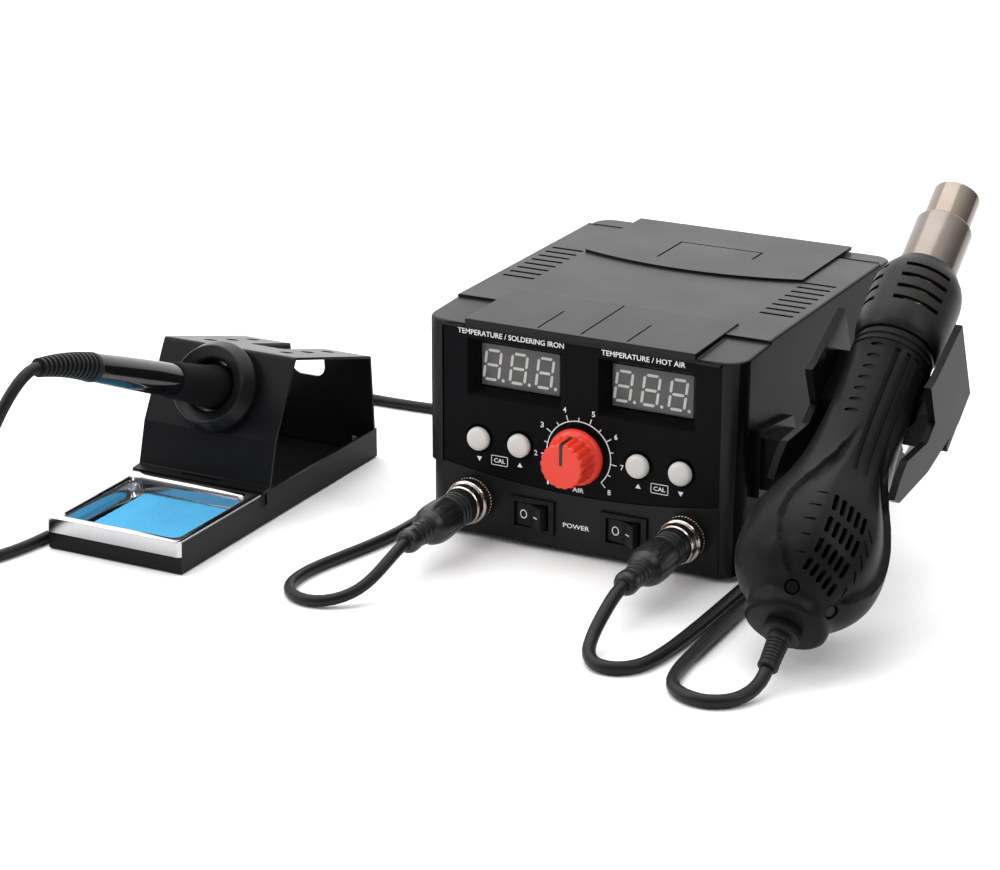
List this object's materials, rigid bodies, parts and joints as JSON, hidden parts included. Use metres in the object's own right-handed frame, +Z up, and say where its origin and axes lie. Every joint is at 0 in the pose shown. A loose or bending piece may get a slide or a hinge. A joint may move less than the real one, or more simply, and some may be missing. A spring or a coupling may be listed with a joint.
{
  "type": "soldering iron station",
  "caption": "Bench soldering station: control unit with displays, dial and side cradle for a hot-air gun, plus sheet-metal stand holding a soldering iron over a sponge tray.",
  "frame": {"origin": "on the bench, under the middle of the box around everything but the leads and their plugs", "axes": "+Z up; front of the station towards -Y; stand on the -X side, hot-air gun on the +X side"},
  "size_m": [0.391, 0.4505, 0.1587],
  "materials": {
    "case_black": "fine satin texture",
    "panel_black": "satin with white printed scale",
    "display_window": "smoked window over grey digit segments",
    "board_green": "solder mask",
    "knob_red": "semi-gloss moulded",
    "button_grey": "satin moulded",
    "switch_black": "semi-gloss",
    "nickel": "nickel plated",
    "rubber_black": "matt rubber",
    "screw_steel": "zinc plated",
    "gun_black": "fine texture",
    "barrel_steel": "satin stainless",
    "nozzle_steel": "polished, slightly heat tinted",
    "ceramic": "unglazed ceramic",
    "motor_metal": "plain",
    "core_steel": "varnished laminations",
    "stand_paint": "satin black powder coat",
    "tray_steel": "polished stainless",
    "sponge_blue": "open cellulose sponge",
    "handle_gloss": "glossy moulded",
    "foam_grip": "fine foam",
    "tip_metal": "iron plated"
  },
  "bodies": {
    "station": {"base_shell": "case_black", "top_cover": "case_black", "front_panel": "panel_black", "display_left": "display_window", "display_right": "display_window", "display_board": "board_green", "knob_pot": "motor_metal", "button_switches": "switch_black", "switch_bezels": "switch_black", "panel_sockets": "nickel", "plug_left": "rubber_black", "plug_right": "rubber_black", "case_feet": "rubber_black", "case_screws": "screw_steel", "mains_inlet": "switch_black", "main_board": "board_green", "transformer": "core_steel", "cradle": "case_black", "stand_base": "stand_paint", "stand_cover": "stand_paint", "holder_ring": "handle_gloss", "stand_rivets": "screw_steel", "stand_feet": "rubber_black", "iron_lead_out": "rubber_black", "iron_lead_in": "rubber_black", "iron_lead_coil": "rubber_black", "gun_lead_out": "rubber_black", "gun_lead_in": "rubber_black", "gun_lead_coil": "rubber_black"},
    "knob": {"air_knob": "knob_red", "knob_shaft": "screw_steel", "knob_pointer": "switch_black"},
    "button_1": {"button_1": "button_grey"},
    "button_2": {"button_2": "button_grey"},
    "button_3": {"button_3": "button_grey"},
    "button_4": {"button_4": "button_grey"},
    "rocker_left": {"rocker_left": "switch_black"},
    "rocker_right": {"rocker_right": "switch_black"},
    "plug_ring_left": {"plug_ring_left": "nickel"},
    "plug_ring_right": {"plug_ring_right": "nickel"},
    "tray": {"sponge_tray": "tray_steel"},
    "sponge": {"sponge": "sponge_blue"},
    "iron": {"iron_tube": "handle_gloss", "iron_grip": "foam_grip", "iron_nut": "nickel", "iron_barrel": "barrel_steel", "iron_tip": "tip_metal", "iron_boot": "rubber_black", "iron_lead_drop": "rubber_black"},
    "gun": {"gun_front_shell": "gun_black", "gun_rear_shell": "gun_black", "heat_shroud": "gun_black", "gun_barrel": "barrel_steel", "heater_core": "ceramic", "fan_motor": "motor_metal", "gun_screws": "screw_steel", "gun_boot": "rubber_black", "gun_lead_drop": "rubber_black"},
    "nozzle": {"nozzle": "nozzle_steel"},
    "fan": {"fan_impeller": "switch_black"}
  },
  "joints": [
    {"name": "knob_turn", "type": "hinge", "parent": "station", "child": "knob", "pos_m": [0.0263, -0.0272, 0.0468], "axis": [0, 1, 0], "range_deg": [-135, 135]},
    {"name": "button_1_press", "type": "slide", "parent": "station", "child": "button_1", "axis": [0, 1, 0], "range_m": [0, 0.001], "stiffness_N_per_m": 300},
    {"name": "button_2_press", "type": "slide", "parent": "station", "child": "button_2", "axis": [0, 1, 0], "range_m": [0, 0.001], "stiffness_N_per_m": 300},
    {"name": "button_3_press", "type": "slide", "parent": "station", "child": "button_3", "axis": [0, 1, 0], "range_m": [0, 0.001], "stiffness_N_per_m": 300},
    {"name": "button_4_press", "type": "slide", "parent": "station", "child": "button_4", "axis": [0, 1, 0], "range_m": [0, 0.001], "stiffness_N_per_m": 300},
    {"name": "rocker_left_tilt", "type": "hinge", "parent": "station", "child": "rocker_left", "pos_m": [0.0043, -0.0172, 0.0156], "axis": [0, 0, 1], "range_deg": [0, 40]},
    {"name": "rocker_right_tilt", "type": "hinge", "parent": "station", "child": "rocker_right", "pos_m": [0.0483, -0.0172, 0.0156], "axis": [0, 0, 1], "range_deg": [0, 40]},
    {"name": "plug_ring_left_turn", "type": "hinge", "parent": "station", "child": "plug_ring_left", "pos_m": [-0.0242, -0.0222, 0.0188], "axis": [0, 1, 0], "continuous": true},
    {"name": "plug_ring_right_turn", "type": "hinge", "parent": "station", "child": "plug_ring_right", "pos_m": [0.0768, -0.0222, 0.0188], "axis": [0, 1, 0], "continuous": true},
    {"name": "tray_tip", "type": "hinge", "parent": "station", "child": "tray", "pos_m": [-0.1477, -0.0479, 0.01465], "axis": [-1, 0, 0], "range_deg": [0, 25]},
    {"name": "sponge_lift", "type": "slide", "parent": "tray", "child": "sponge", "axis": [0, 0, 1], "range_m": [0, 0.015]},
    {"name": "iron_draw", "type": "slide", "parent": "station", "child": "iron", "axis": [0, -0.9311, 0.3649], "range_m": [0, 0.12]},
    {"name": "gun_lift", "type": "slide", "parent": "station", "child": "gun", "axis": [0, -0.5807, 0.8141], "range_m": [0, 0.1]},
    {"name": "nozzle_pull", "type": "slide", "parent": "gun", "child": "nozzle", "axis": [0, 0.8141, 0.5807], "range_m": [0, 0.03]},
    {"name": "fan_spin", "type": "hinge", "parent": "gun", "child": "fan", "pos_m": [0.1523, -0.07145, 0.03502], "axis": [0, 0.8141, 0.5807], "continuous": true}
  ]
}
